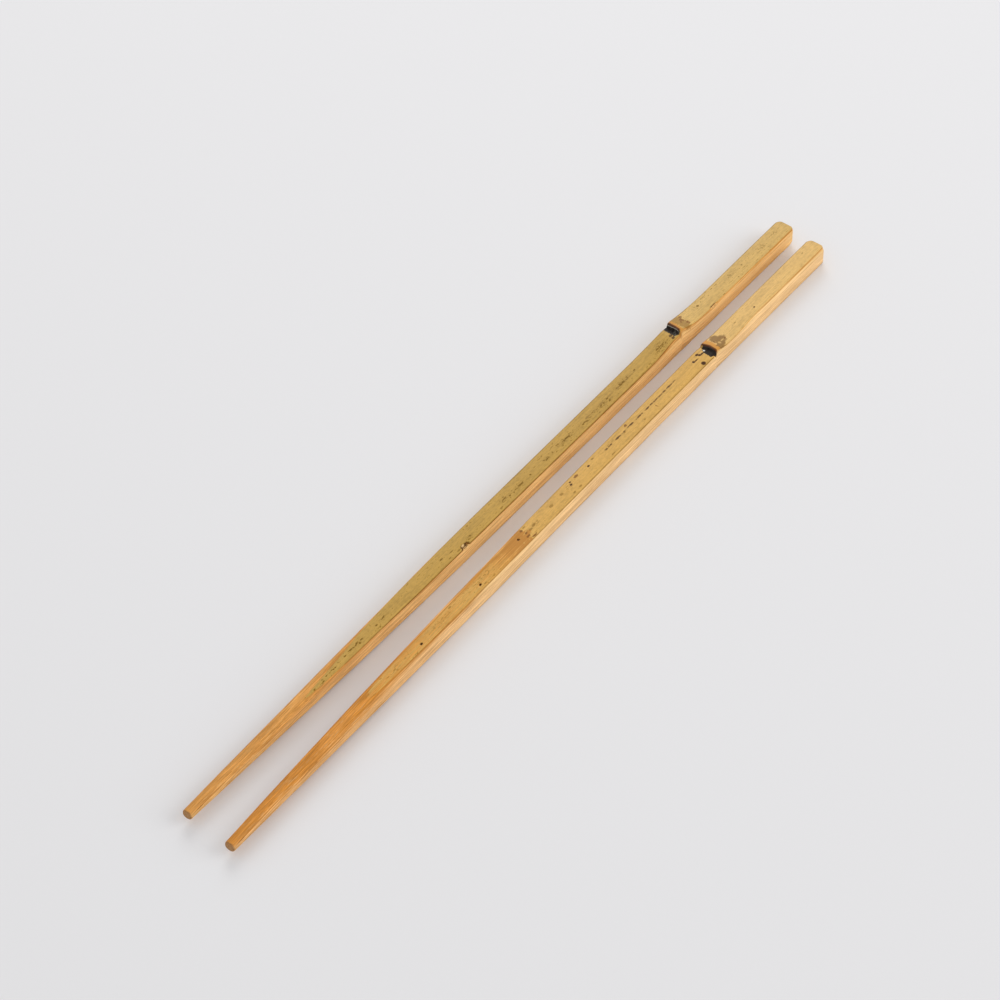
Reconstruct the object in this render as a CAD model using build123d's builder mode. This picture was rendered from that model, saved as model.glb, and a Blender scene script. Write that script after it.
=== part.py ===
# A pair of bamboo chopsticks, each whittled from one strip split off a culm.
# Millimetres. The sticks lie side by side on their flat undersides with the culm's skin up: +Z up, tips
# towards -X, handles towards +X, the left stick on the +Y side, origin under the middle of the pair.
from build123d import *
import math
import os

# The pair as it lies
LENGTH = 240.0
TIP_SPACING = 13.5  # between the sticks' middle lines at the tips
HANDLE_SPACING = 10.4  # between the middle lines at the handle ends
STAGGER = 1.4  # how much further towards +X the left stick lies

# The culm that both strips come from
CULM_DIAMETER = 50.0
SWELL_RUN = 17.0  # over which the skin rises towards the node
SCAR_LENGTH = 2.4  # recess on the tip side of the node's lip
SCAR_DEPTH = 0.25
LIP_RUN = 0.35  # the lip's face leans by this much over its height
CREST_LENGTH = 0.9  # planed top of the ridge

# Whittling, alike on both sticks
TAPER_LENGTH = 100.0  # from the tip to the full square shaft
TAPER_BELLY = 0.48  # how far the sides swell out beyond a straight taper
SKIN_START = 57.0  # from the tip to where the shaved top meets the skin
TIP_DROP = 1.05  # top of the tip below the level of the skin
TIP_FLAT = 0.2  # flat left between the round corners of the tip
TIP_EDGE_RADIUS = 0.45
SOLE_EDGE_RADIUS = 0.3  # lower corners of the shaft
SOLE_TRIM = 0.12  # planed off the rounded underside to make it flat
END_LEFT_RADIUS = 1.6  # corners of the handle end, seen from above: the one on the +Y side
END_RIGHT_RADIUS = 0.9  # and the one on the -Y side
FACET_ANGLE = 65.0  # from level, of the facets planed beside the nodes

# The left stick
LEFT_TIP_DIAMETER = 2.7
LEFT_SHAFT_WIDTH = 4.78  # across the skin at the end of the taper
LEFT_HANDLE_WIDTH = 5.1
LEFT_SHAFT_DEPTH = 5.1  # underside to skin, along the shaft
LEFT_HANDLE_DEPTH = 4.95  # underside to skin, handle side of the node
LEFT_NODE_FROM_END = 49.7  # lip of the node to the handle end
LEFT_SWELL_HEIGHT = 0.55  # skin at the node above the skin of the shaft
LEFT_RIDGE_HEIGHT = 1.4  # planed top of the node above the skin of the shaft
LEFT_RUN_OUT = 20.0  # from the planed top down to the skin of the handle
LEFT_SHOULDER_RADIUS = 1.2  # upper corners of the taper where it reaches the shaft
LEFT_LEAN = 0.22  # slope of the shaved top, down towards +Y, half way along the taper
LEFT_BOW = 0.16  # sideways, towards +Y, half way along
LEFT_HEEL_RADIUS = 2.5  # lower edge of the handle end, seen from the side
LEFT_FACET_DEPTH = 0.75  # planed off the upper edge on the -Y side, beside the node
LEFT_FACET_LENGTH = 22.0
LEFT_FACET_SHIFT = -4.0  # middle of the facet beyond the lip of the node

# The right stick
RIGHT_TIP_DIAMETER = 2.84
RIGHT_SHAFT_WIDTH = 4.95
RIGHT_HANDLE_WIDTH = 5.08
RIGHT_SHAFT_DEPTH = 5.2
RIGHT_HANDLE_DEPTH = 5.15
RIGHT_NODE_FROM_END = 48.3
RIGHT_SWELL_HEIGHT = 0.05
RIGHT_RIDGE_HEIGHT = 0.52
RIGHT_RUN_OUT = 10.0
RIGHT_SHOULDER_RADIUS = 2.0
RIGHT_LEAN = 0.05
RIGHT_BOW = 0.9
RIGHT_HEEL_RADIUS = 1.5
RIGHT_FACET_DEPTH = 0.55
RIGHT_FACET_LENGTH = 8.0
RIGHT_FACET_SHIFT = 1.0

# Room that the cutting shapes have around the stick
CUT_MARGIN = 10.0
END_CLEARANCE = 0.05  # outside the handle's sides, so that its corners run smoothly into them

TAPER_SECTIONS = 4
SHAFT_SECTIONS = 3


def between(start, end, share):
    return start + (end - start) * share


def hump(height, share):
    """A parabola that is 0 at both ends and height half way."""
    return 4 * height * share * (1 - share)


def stick_plane(side):
    """Plane of one stick: origin under the tip, x towards the handle; side is +1 on the left."""
    narrowing = (TIP_SPACING - HANDLE_SPACING) / 2
    tip = ((side * STAGGER - LENGTH) / 2, side * TIP_SPACING / 2, 0)
    return Plane(tip, x_dir=(LENGTH, -side * narrowing, 0), z_dir=(0, 0, 1))


def whittled_section(
    place, x, tip_diameter, shaft_width, handle_width, shaft_depth, shoulder_radius, lean, bow
):
    """Section of the whittled form at x: nearly round at the tip, a tall rectangle along the shaft."""
    taper = min(x / TAPER_LENGTH, 1)
    shaft = max(x - TAPER_LENGTH, 0) / (LENGTH - TAPER_LENGTH)
    full_width = between(shaft_width, handle_width, shaft)
    half = (between(tip_diameter, full_width, taper) + hump(TAPER_BELLY, taper)) / 2
    tip_top = shaft_depth - TIP_DROP
    top = tip_top + TIP_DROP * x / SKIN_START
    bottom = between(tip_top - tip_diameter, -SOLE_TRIM, taper)
    slant = hump(lean, taper) * half
    tip_radius = (tip_diameter - TIP_FLAT) / 2
    middle = place.from_local_coords((x, hump(bow, x / LENGTH), 0))
    with BuildSketch(Plane(middle, x_dir=place.y_dir, z_dir=place.x_dir)) as section:
        Polygon((-half, bottom), (half, bottom), (half, top - slant), (-half, top + slant), align=None)
        corners = section.vertices().sort_by(Axis.Y)
        fillet(corners[:2], between(tip_radius, SOLE_EDGE_RADIUS, taper))
        fillet(corners[2:], between(tip_radius, shoulder_radius, taper))
    return section.sketch


def culm_outline(
    place, shaft_depth, handle_depth, node_from_end, swell_height, ridge_height, run_out, axis_height
):
    """Half outline of the culm along the stick: swelling skin, scar, lip, planed ridge and skin again."""
    lip = LENGTH - node_from_end
    scar = lip - SCAR_LENGTH
    swell = scar - SWELL_RUN
    crest = lip + LIP_RUN
    ridge = crest + CREST_LENGTH
    swell_top = shaft_depth + swell_height
    crest_top = shaft_depth + ridge_height
    start = -CUT_MARGIN
    end = LENGTH + CUT_MARGIN
    with BuildSketch(Plane(place.origin, x_dir=place.x_dir, z_dir=-place.y_dir)) as outline:
        with BuildLine():
            Polyline((swell, shaft_depth), (start, shaft_depth), (start, axis_height), (end, axis_height))
            Polyline((end, axis_height), (end, handle_depth), (ridge + run_out, handle_depth))
            Bezier((swell, shaft_depth), (swell + SWELL_RUN / 2, shaft_depth), (scar, swell_top))
            Polyline((scar, swell_top), (lip, swell_top - SCAR_DEPTH), (crest, crest_top))
            Line((crest, crest_top), (ridge, crest_top))
            Bezier(
                (ridge, crest_top),
                (ridge + run_out / 3, handle_depth),
                (ridge + run_out * 2 / 3, handle_depth),
                (ridge + run_out, handle_depth),
            )
        make_face()
    return outline.sketch


def plan_outline(place, handle_width):
    """Outline from above: as wide as the culm at the tip, close to the handle at its round end."""
    end_half = handle_width / 2 + END_CLEARANCE
    tip_half = CULM_DIAMETER / 2
    with BuildSketch(place.offset(-CUT_MARGIN)) as outline:
        with BuildLine():
            Polyline(
                (LENGTH, end_half),
                (-CUT_MARGIN, tip_half),
                (-CUT_MARGIN, -tip_half),
                (LENGTH, -end_half),
                close=True,
            )
        make_face()
        fillet(outline.vertices().group_by(Axis.X)[-1].sort_by(Axis.Y)[0], END_RIGHT_RADIUS)
        fillet(outline.vertices().group_by(Axis.X)[-1].sort_by(Axis.Y)[-1], END_LEFT_RADIUS)
    return outline.sketch


def side_outline(place, heel_radius):
    """Outline from the side: the flat underside, running up round the lower edge of the handle end."""
    with BuildSketch(Plane(place.origin, x_dir=place.x_dir, z_dir=-place.y_dir)) as outline:
        with BuildLine():
            Polyline(
                (-CUT_MARGIN, 0),
                (LENGTH, 0),
                (LENGTH, CULM_DIAMETER),
                (-CUT_MARGIN, CULM_DIAMETER),
                close=True,
            )
        make_face()
        fillet(outline.vertices().group_by(Axis.Y)[0].sort_by(Axis.X)[-1], heel_radius)
    return outline.sketch


def facet_outline(place, edge, depth, length):
    """Round of the knife's sweep that planes a facet of this depth and length into an edge."""
    radius = (length**2 / (4 * depth) + depth) / 2
    angle = math.radians(FACET_ANGLE)
    outwards = place.z_dir * math.cos(angle) - place.y_dir * math.sin(angle)
    with BuildSketch(Plane(edge, x_dir=place.x_dir, z_dir=place.x_dir.cross(outwards))) as outline:
        with Locations((0, radius - depth)):
            Circle(radius)
    return outline.sketch


def whittle(
    side,
    tip_diameter,
    shaft_width,
    handle_width,
    shaft_depth,
    handle_depth,
    node_from_end,
    swell_height,
    ridge_height,
    run_out,
    shoulder_radius,
    lean,
    bow,
    heel_radius,
    facet_depth,
    facet_length,
    facet_shift,
):
    """One stick: a strip of the culm with a flat underside and a rounded end, whittled to its taper."""
    place = stick_plane(side)
    along = Axis(place.origin, place.x_dir)
    axis_height = shaft_depth - CULM_DIAMETER / 2
    shaft_length = LENGTH - TAPER_LENGTH
    taper_stations = [TAPER_LENGTH * i / (TAPER_SECTIONS - 1) for i in range(TAPER_SECTIONS)]
    shaft_stations = [TAPER_LENGTH + shaft_length * (i + 1) / SHAFT_SECTIONS for i in range(SHAFT_SECTIONS)]
    culm_axis = Axis(place.from_local_coords((0, 0, axis_height)), place.x_dir)
    sections = [
        whittled_section(
            place, x, tip_diameter, shaft_width, handle_width, shaft_depth, shoulder_radius, lean, bow
        )
        for x in taper_stations + shaft_stations
    ]
    skin = culm_outline(
        place, shaft_depth, handle_depth, node_from_end, swell_height, ridge_height, run_out, axis_height
    )
    plan = plan_outline(place, handle_width)
    profile = side_outline(place, heel_radius)
    node = LENGTH - node_from_end
    node_half = between(shaft_width, handle_width, (node - TAPER_LENGTH) / shaft_length) / 2
    edge = (node + facet_shift, hump(bow, node / LENGTH) - node_half, shaft_depth + ridge_height)
    facet = facet_outline(place, place.from_local_coords(edge), facet_depth, facet_length)
    with BuildPart() as stick:
        extrude(plan, amount=CULM_DIAMETER)
        extrude(profile, amount=CULM_DIAMETER, both=True, mode=Mode.INTERSECT)
        revolve(skin, axis=culm_axis, mode=Mode.INTERSECT)
        loft(sections, mode=Mode.INTERSECT)
        extrude(facet, amount=CUT_MARGIN, both=True, mode=Mode.SUBTRACT)
        tip_face = stick.faces().sort_by(along)[0]
        fillet(tip_face.edges(), TIP_EDGE_RADIUS)
    return stick


left_chopstick = whittle(
    side=1,
    tip_diameter=LEFT_TIP_DIAMETER,
    shaft_width=LEFT_SHAFT_WIDTH,
    handle_width=LEFT_HANDLE_WIDTH,
    shaft_depth=LEFT_SHAFT_DEPTH,
    handle_depth=LEFT_HANDLE_DEPTH,
    node_from_end=LEFT_NODE_FROM_END,
    swell_height=LEFT_SWELL_HEIGHT,
    ridge_height=LEFT_RIDGE_HEIGHT,
    run_out=LEFT_RUN_OUT,
    shoulder_radius=LEFT_SHOULDER_RADIUS,
    lean=LEFT_LEAN,
    bow=LEFT_BOW,
    heel_radius=LEFT_HEEL_RADIUS,
    facet_depth=LEFT_FACET_DEPTH,
    facet_length=LEFT_FACET_LENGTH,
    facet_shift=LEFT_FACET_SHIFT,
)
left_chopstick.part.label = "left_chopstick"

right_chopstick = whittle(
    side=-1,
    tip_diameter=RIGHT_TIP_DIAMETER,
    shaft_width=RIGHT_SHAFT_WIDTH,
    handle_width=RIGHT_HANDLE_WIDTH,
    shaft_depth=RIGHT_SHAFT_DEPTH,
    handle_depth=RIGHT_HANDLE_DEPTH,
    node_from_end=RIGHT_NODE_FROM_END,
    swell_height=RIGHT_SWELL_HEIGHT,
    ridge_height=RIGHT_RIDGE_HEIGHT,
    run_out=RIGHT_RUN_OUT,
    shoulder_radius=RIGHT_SHOULDER_RADIUS,
    lean=RIGHT_LEAN,
    bow=RIGHT_BOW,
    heel_radius=RIGHT_HEEL_RADIUS,
    facet_depth=RIGHT_FACET_DEPTH,
    facet_length=RIGHT_FACET_LENGTH,
    facet_shift=RIGHT_FACET_SHIFT,
)
right_chopstick.part.label = "right_chopstick"

os.makedirs("parts", exist_ok=True)
export_step(left_chopstick.part, "parts/left_chopstick.step")
export_step(right_chopstick.part, "parts/right_chopstick.step")
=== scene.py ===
"""Looks of a pair of bamboo chopsticks: two whittled sticks, with skin, cut wood, node and marks.

Lengths are metres, in the frame of the packed part: +X towards the handles, +Y towards the left
stick and +Z up. The forms come from geometry nodes, which also keep on each point where it lies in
the stick. The finishes are found from that, in millimetres.
"""
import math
from collections import namedtuple
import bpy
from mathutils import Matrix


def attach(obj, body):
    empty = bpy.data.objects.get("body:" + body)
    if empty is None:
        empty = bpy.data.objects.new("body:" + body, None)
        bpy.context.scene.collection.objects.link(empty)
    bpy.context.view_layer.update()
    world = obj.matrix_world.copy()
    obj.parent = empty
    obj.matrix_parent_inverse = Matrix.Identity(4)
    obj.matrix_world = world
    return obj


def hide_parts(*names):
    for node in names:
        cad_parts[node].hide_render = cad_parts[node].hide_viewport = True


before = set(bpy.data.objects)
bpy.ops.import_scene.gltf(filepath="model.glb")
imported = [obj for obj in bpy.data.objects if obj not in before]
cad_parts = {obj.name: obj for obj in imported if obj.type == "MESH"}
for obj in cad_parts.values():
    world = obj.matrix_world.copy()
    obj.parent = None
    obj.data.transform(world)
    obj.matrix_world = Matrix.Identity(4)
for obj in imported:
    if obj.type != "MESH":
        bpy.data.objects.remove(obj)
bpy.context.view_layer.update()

from types import SimpleNamespace

import bpy
from bpy.props import FloatProperty, FloatVectorProperty, PointerProperty
from mathutils import Vector

bl_info = {
    "name": "Bamboo Chopsticks",
    "version": (1, 0, 0),
    "blender": (4, 5, 0),
    "location": "3D View > Sidebar > Chopsticks",
    "description": "Builds a pair of whittled bamboo chopsticks and a plain studio around them",
    "category": "Add Mesh",
}

MM = 0.001

# Attributes, in millimetres
GRAIN = "grain"  # along from the tip, across from the middle line, and depth below the skin
EDGE = "edge"  # distance in from the nearer of the stick's two long edges

# Rows of the sticks' grid: each stretch of a stick has its own share, closest where the form turns most
CAP_ROWS = 8
TIP_ROWS = 10
SHAFT_ROWS = 430
NODE_ROWS = 120
HANDLE_ROWS = 90
CORNER_ROWS = 20
COLUMNS = 128
NODE_BEFORE = 5 * MM  # reach of the node's rows on both sides of the lip
NODE_AFTER = 8 * MM
MERGE_REACH = 0.001 * MM  # closes the grid's seam and the middles of its end faces

# Facets planed off the skin's right edges: their fall over their width, and places beyond the lip
FACET_SLOPE = 1.6
FACET_FULL = (0.2 * MM, 1 * MM)
HANDLE_BEVEL_RUN = (4 * MM, 20 * MM)

# Bevels shaved off its left edges: their fall over their width, and the run in which they fade
BEVEL_SLOPE = 0.3
BEVEL_FADE = 25 * MM


# Node trees


class Value:
    """One socket of a node tree, on which Python arithmetic adds Math nodes."""

    def __init__(self, graph, socket):
        self.graph = graph
        self.socket = socket

    def math(self, operation, *others, clamp=False):
        sockets = dict(enumerate((self, *others)))
        return self.graph.node("ShaderNodeMath", {"operation": operation, "use_clamp": clamp}, sockets)

    def __add__(self, other):
        return self.math("ADD", other)

    def __sub__(self, other):
        return self.math("SUBTRACT", other)

    def __mul__(self, other):
        return self.math("MULTIPLY", other)

    def __truediv__(self, other):
        return self.math("DIVIDE", other)

    def __pow__(self, other):
        return self.math("POWER", other)

    def __neg__(self):
        return self * -1

    def __radd__(self, other):
        return self + other

    def __rsub__(self, other):
        return -self + other

    def __rmul__(self, other):
        return self * other

    def __rtruediv__(self, other):
        return self ** -1 * other

    def __lt__(self, other):
        return self.math("LESS_THAN", other)

    def __gt__(self, other):
        return self.math("GREATER_THAN", other)

    def least(self, other):
        return self.math("MINIMUM", other)

    def most(self, other):
        return self.math("MAXIMUM", other)

    def clamp(self):
        return self.math("ADD", 0, clamp=True)

    def abs(self):
        return self.math("ABSOLUTE")

    def root(self):
        return self.math("SQRT")

    def cos(self):
        return self.math("COSINE")

    def parts(self):
        """The x, y and z of a vector."""
        x = self.graph.node("ShaderNodeSeparateXYZ", {}, {0: self})
        return tuple(Value(self.graph, output) for output in x.socket.node.outputs)


class Graph:
    """A node tree whose nodes are made by one method and come back as Values."""

    def __init__(self, tree):
        self.tree = tree

    def node(self, kind, settings, sockets, output=0):
        """A new node, given its settings and its sockets' values or links; one output comes back."""
        made = self.tree.nodes.new(kind)
        for name, setting in settings.items():
            setattr(made, name, setting)
        for key, source in sockets.items():
            if isinstance(source, Value):
                self.tree.links.new(source.socket, made.inputs[key])
            else:
                made.inputs[key].default_value = source
        return Value(self, made.outputs[output])

    def vector(self, x, y, z):
        return self.node("ShaderNodeCombineXYZ", {}, {0: x, 1: y, 2: z})

    def noise(self, place, detail=2.0, roughness=0.5):
        """Noise from 0 to 1, whose waves are one unit of place long."""
        sockets = {"Vector": place, "Scale": 1.0, "Detail": detail, "Roughness": roughness}
        return self.node("ShaderNodeTexNoise", {}, sockets)

    def vector_math(self, operation, sockets, output=0):
        return self.node("ShaderNodeVectorMath", {"operation": operation}, sockets, output)

    def mix(self, share, first, second):
        """Colour between first and second."""
        settings = {"data_type": "RGBA", "clamp_factor": True}
        return self.node("ShaderNodeMix", settings, {0: share, 6: rgba(first), 7: rgba(second)}, 2)


def rgba(colour):
    return colour if isinstance(colour, Value) else (*colour, 1.0)


def between(start, end, share):
    return start + (end - start) * share


def hump(height, share):
    """A parabola that is 0 at both ends and height half way."""
    return 4 * height * share * (1 - share)


def ramp(value, start, end):
    """0 before start, 1 after end, straight between."""
    return value.graph.node("ShaderNodeMapRange", {}, {0: value, 1: start, 2: end})


def ease(value, start, end):
    """0 before start, 1 after end, level at both."""
    smooth = {"interpolation_type": "SMOOTHSTEP"}
    return value.graph.node("ShaderNodeMapRange", smooth, {0: value, 1: start, 2: end})


def round_over(reach, radius):
    """How far a rounded edge has dropped, reach past the start of its rounding."""
    reach = reach.most(0).least(radius)
    return radius - (radius * radius - reach * reach).most(0).root()


# Sizes and colours that a user may change


def millimetres(name, description, value):
    """A length, given in millimetres and kept in metres."""
    return FloatProperty(
        name=name, description=description, default=value * MM, unit="LENGTH", precision=5
    )


def number(name, description, value, unit="NONE"):
    return FloatProperty(name=name, description=description, default=value, unit=unit)


def factor(name, description, value):
    return FloatProperty(
        name=name, description=description, default=value, subtype="FACTOR", min=0, max=1
    )


def tint(name, description, value):
    return FloatVectorProperty(
        name=name, description=description, default=value, subtype="COLOR", min=0, max=1
    )


class PairLayout(bpy.types.PropertyGroup):
    """How the two sticks lie."""

    tip_spacing: millimetres("Tip spacing", "Between the middle lines at the tips", 13.5)
    handle_spacing: millimetres("Handle spacing", "Between the middle lines at the handle ends", 10.4)
    stagger: millimetres("Stagger", "How much further towards the handles the left stick lies", 1.4)


class Whittling(bpy.types.PropertyGroup):
    """Sizes that both sticks share."""

    length: millimetres("Length", "Tip to handle end", 240)
    culm_diameter: millimetres("Culm diameter", "Of the culm that the strips are split from", 50)
    swell_run: millimetres("Swell run", "Over which the skin rises towards the node", 17)
    scar_length: millimetres("Scar length", "Recess on the tip side of the lip", 2.4)
    scar_depth: millimetres("Scar depth", "Depth of that recess at the lip", 0.25)
    lip_run: millimetres("Lip run", "Lean of the lip's face over its height", 0.35)
    crest_length: millimetres("Crest length", "Planed top of the ridge", 0.9)
    taper_length: millimetres("Taper length", "From the tip to the full square shaft", 100)
    belly: millimetres("Belly", "Swell of the sides beyond a straight taper", 0.48)
    skin_start: millimetres("Skin start", "From the tip to where the shaved top meets the skin", 57)
    tip_drop: millimetres("Tip drop", "Top of the tip below the level of the skin", 1.05)
    tip_flat: millimetres("Tip flat", "Flat between the round corners of the tip", 0.2)
    tip_edge: millimetres("Tip edge", "Rounding of the tip's end", 0.45)
    sole_radius: millimetres("Sole radius", "Lower corners of the shaft", 0.3)
    sole_trim: millimetres("Sole trim", "Planed off the rounded underside", 0.12)
    end_left: millimetres("Left end radius", "Left corner of the handle end, from above", 1.6)
    end_right: millimetres("Right end radius", "Right corner of the handle end, from above", 0.9)
    end_edge: millimetres("End edge", "Rounding of the handle's end", 0.2)
    skin_edge: millimetres("Skin edge", "Rounding of the skin's edges along the shaft", 0.14)


class LeftStick(bpy.types.PropertyGroup):
    """Sizes of the left stick alone."""

    tip_diameter: millimetres("Tip diameter", "Across the round tip", 2.7)
    shaft_width: millimetres("Shaft width", "Across the skin at the end of the taper", 4.78)
    handle_width: millimetres("Handle width", "Across the skin at the handle end", 5.1)
    shaft_depth: millimetres("Shaft depth", "Underside to skin along the shaft", 5.1)
    handle_depth: millimetres("Handle depth", "Underside to skin, handle side of the node", 4.95)
    node_from_end: millimetres("Node from end", "Lip of the node to the handle end", 49.7)
    swell_height: millimetres("Swell height", "Skin at the node above the shaft's skin", 0.55)
    ridge_height: millimetres("Ridge height", "Planed top of the node above the shaft's skin", 1.4)
    run_out: millimetres("Run-out", "From the planed top down to the skin of the handle", 20)
    shoulder_radius: millimetres("Shoulder radius", "Upper corners at the end of the taper", 1.2)
    lean: number("Lean", "Slope across the shaved top, half way along the taper", 0.22)
    bow: millimetres("Bow", "Sideways, half way along", 0.16)
    heel_radius: millimetres("Heel radius", "Lower edge of the handle end, from the side", 2.5)
    lip_slant: number("Lip slant", "Slope of the lip across the stick", 0.07)
    lip_arch: millimetres("Lip arch", "How far the middle of the lip lies beyond its ends", 0.05)
    facet: millimetres("Facet", "Width planed off the skin's right edge at the node", 0.75)
    facet_before: millimetres("Facet before", "Run of that facet towards the tip", 15)
    facet_after: millimetres("Facet after", "Run of that facet towards the handle", 7)
    bevel: millimetres("Bevel", "Width planed off the skin's left edge along the taper", 0.6)
    bevel_end: millimetres("Bevel end", "From the tip to where that bevel runs out", 110)
    handle_bevel: millimetres("Handle bevel", "Width planed off the handle's right edge", 0.4)
    skin_whole: millimetres("Skin whole", "From the tip to where the skin is no longer thin", 75)
    band: millimetres("Band", "Bare wood beyond the lip", 1.5)
    scar_reach: millimetres("Scar reach", "Of the black scar towards the tip", 1.5)
    scar_left: millimetres("Scar left", "From the middle line to the scar's left end", 4)
    scar_right: millimetres("Scar right", "From the middle line to the scar's right end", 1.6)
    # Strength of the painted sheen on the node's black face: its highlight line under the lip and its
    # patches
    painted_sheen_strength: factor("Scar edge", "Strength of the grey line under the lip", 0.9)
    # Depth and start of the painted highlight line on the right side
    painted_highlight_depth: millimetres("Pale depth", "Of the pale fibres below the skin, on the right side", 2.2)
    painted_highlight_start: millimetres("Pale start", "From the tip to the first pale fibres", 190)
    bare: factor("Bare", "How bare the shaved patch is where the whole skin ends", 0.0)
    mottling: factor("Mottling", "Strength of the olive mottling of the skin", 0.7)
    border: factor("Border", "Strength of the dark line along the skin's edges", 0.85)
    seam_start: millimetres("Seam start", "From the tip to the start of the broken dark line", 150)
    seam_end: millimetres("Seam end", "From the tip to the end of that line", 174)
    seam_across: millimetres("Seam across", "From the middle line to that line", -0.1)
    seam_strength: factor("Seam strength", "Of that line", 0.35)
    shaft_skin: tint("Shaft skin", "Colour of the skin along the shaft", (0.505, 0.305, 0.07))
    handle_skin: tint("Handle skin", "Colour of the skin on the handle", (0.62, 0.4, 0.13))
    # Also paints the shade along the skin's rims
    smudge_and_shade: tint("Smudge", "Colour of the marks in the skin", (0.18, 0.09, 0.0))
    stain: tint("Stain", "Colour of the brown stain beyond the node", (0.3, 0.155, 0.03))
    flesh: tint("Flesh", "Cut wood", (0.84, 0.54, 0.22))
    tip_flesh: tint("Tip flesh", "Cut wood of the tip", (0.62, 0.28, 0.065))


class RightStick(bpy.types.PropertyGroup):
    """Sizes of the right stick alone."""

    tip_diameter: millimetres("Tip diameter", "Across the round tip", 2.84)
    shaft_width: millimetres("Shaft width", "Across the skin at the end of the taper", 4.95)
    handle_width: millimetres("Handle width", "Across the skin at the handle end", 5.08)
    shaft_depth: millimetres("Shaft depth", "Underside to skin along the shaft", 5.2)
    handle_depth: millimetres("Handle depth", "Underside to skin, handle side of the node", 5.15)
    node_from_end: millimetres("Node from end", "Lip of the node to the handle end", 48.3)
    swell_height: millimetres("Swell height", "Skin at the node above the shaft's skin", 0.05)
    ridge_height: millimetres("Ridge height", "Planed top of the node above the shaft's skin", 0.52)
    run_out: millimetres("Run-out", "From the planed top down to the skin of the handle", 10)
    shoulder_radius: millimetres("Shoulder radius", "Upper corners at the end of the taper", 2)
    lean: number("Lean", "Slope across the shaved top, half way along the taper", 0.05)
    bow: millimetres("Bow", "Sideways, half way along", 0.9)
    heel_radius: millimetres("Heel radius", "Lower edge of the handle end, from the side", 1.5)
    lip_slant: number("Lip slant", "Slope of the lip across the stick", 0.0)
    lip_arch: millimetres("Lip arch", "How far the middle of the lip lies beyond its ends", 0.45)
    facet: millimetres("Facet", "Width planed off the skin's right edge at the node", 0.7)
    facet_before: millimetres("Facet before", "Run of that facet towards the tip", 1.5)
    facet_after: millimetres("Facet after", "Run of that facet towards the handle", 5)
    bevel: millimetres("Bevel", "Width planed off the skin's left edge along the taper", 1.4)
    bevel_end: millimetres("Bevel end", "From the tip to where that bevel runs out", 122)
    handle_bevel: millimetres("Handle bevel", "Width planed off the handle's right edge", 0.6)
    skin_whole: millimetres("Skin whole", "From the tip to where the skin is no longer thin", 115)
    band: millimetres("Band", "Bare wood beyond the lip", 2.1)
    scar_reach: millimetres("Scar reach", "Of the black scar towards the tip", 1.9)
    scar_left: millimetres("Scar left", "From the middle line to the scar's left end", 2.4)
    scar_right: millimetres("Scar right", "From the middle line to the scar's right end", 2.4)
    # Strength of the painted sheen on the node's black face: its highlight line under the lip and its
    # patches
    painted_sheen_strength: factor("Scar edge", "Strength of the grey line under the lip", 0.12)
    # Depth and start of the painted highlight line on the right side
    painted_highlight_depth: millimetres("Pale depth", "Of the pale fibres below the skin, on the right side", 0.5)
    painted_highlight_start: millimetres("Pale start", "From the tip to the first pale fibres", 92)
    bare: factor("Bare", "How bare the shaved patch is where the whole skin ends", 1.0)
    mottling: factor("Mottling", "Strength of the olive mottling of the skin", 0.4)
    border: factor("Border", "Strength of the dark line along the skin's edges", 0.5)
    seam_start: millimetres("Seam start", "From the tip to the start of the broken dark line", 147)
    seam_end: millimetres("Seam end", "From the tip to the end of that line", 179)
    seam_across: millimetres("Seam across", "From the middle line to that line", 0.65)
    seam_strength: factor("Seam strength", "Of that line", 0.9)
    shaft_skin: tint("Shaft skin", "Colour of the skin along the shaft", (0.635, 0.37, 0.094))
    handle_skin: tint("Handle skin", "Colour of the skin on the handle", (0.7, 0.445, 0.155))
    # Also paints the shade along the skin's rims
    smudge_and_shade: tint("Smudge", "Colour of the marks in the skin", (0.25, 0.125, 0.01))
    stain: tint("Stain", "Colour of the brown stain beyond the node", (0.22, 0.11, 0.026))
    flesh: tint("Flesh", "Cut wood", (0.83, 0.535, 0.25))
    tip_flesh: tint("Tip flesh", "Cut wood of the tip", (0.57, 0.22, 0.03))


class Finish(bpy.types.PropertyGroup):
    """Colours that both sticks share."""

    patch: tint("Patch", "Cut wood of the shaved patch", (0.47, 0.21, 0.045))
    outer_flesh: tint("Outer flesh", "Cut wood just under the skin", (0.6, 0.265, 0.045))
    # Pale: the painted highlight line along the right edges, and the pale mark in the left stick's chip
    pale: tint("Pale", "Pale fibres along the edges", (0.93, 0.63, 0.28))
    fibre: tint("Fibre", "Darker fibres in the cut wood", (0.36, 0.14, 0.02))
    # Also paints the shade low on the sides of the cut wood
    fleck_and_shade: tint("Fleck", "Darkest fibres in the cut wood", (0.2, 0.07, 0.008))
    end_grain: tint("End grain", "End face of the tips", (0.36, 0.19, 0.08))
    scar: tint("Scar", "Black face of the node", (0.018, 0.012, 0.009))
    # Painted sheen: the greyish highlight line under the lip and the greyish patches on the node's black
    # face
    sheen: tint("Sheen", "Grey edge and patches of that face", (0.42, 0.39, 0.33))
    lip: tint("Lip", "Burnt edge of the node", (0.07, 0.015, 0.004))
    burn: tint("Burn", "Darkest marks", (0.065, 0.02, 0.0))
    # Painted glint: a pale highlight dot on the black face of the node
    painted_glint: tint("Wax", "Pale drop on the black face", (0.75, 0.72, 0.66))


class StudioLook(bpy.types.PropertyGroup):
    """Floor, light and camera."""

    floor_colour: tint("Floor", "Colour of the pale floor", (0.775, 0.77, 0.782))
    camera_distance: millimetres("Camera distance", "From the lens to the point it looks at", 1008.1)
    camera_focal: number("Focal length", "Of the lens, on a 36 mm sensor", 149.9, "CAMERA")


# Marks in the surface

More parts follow.
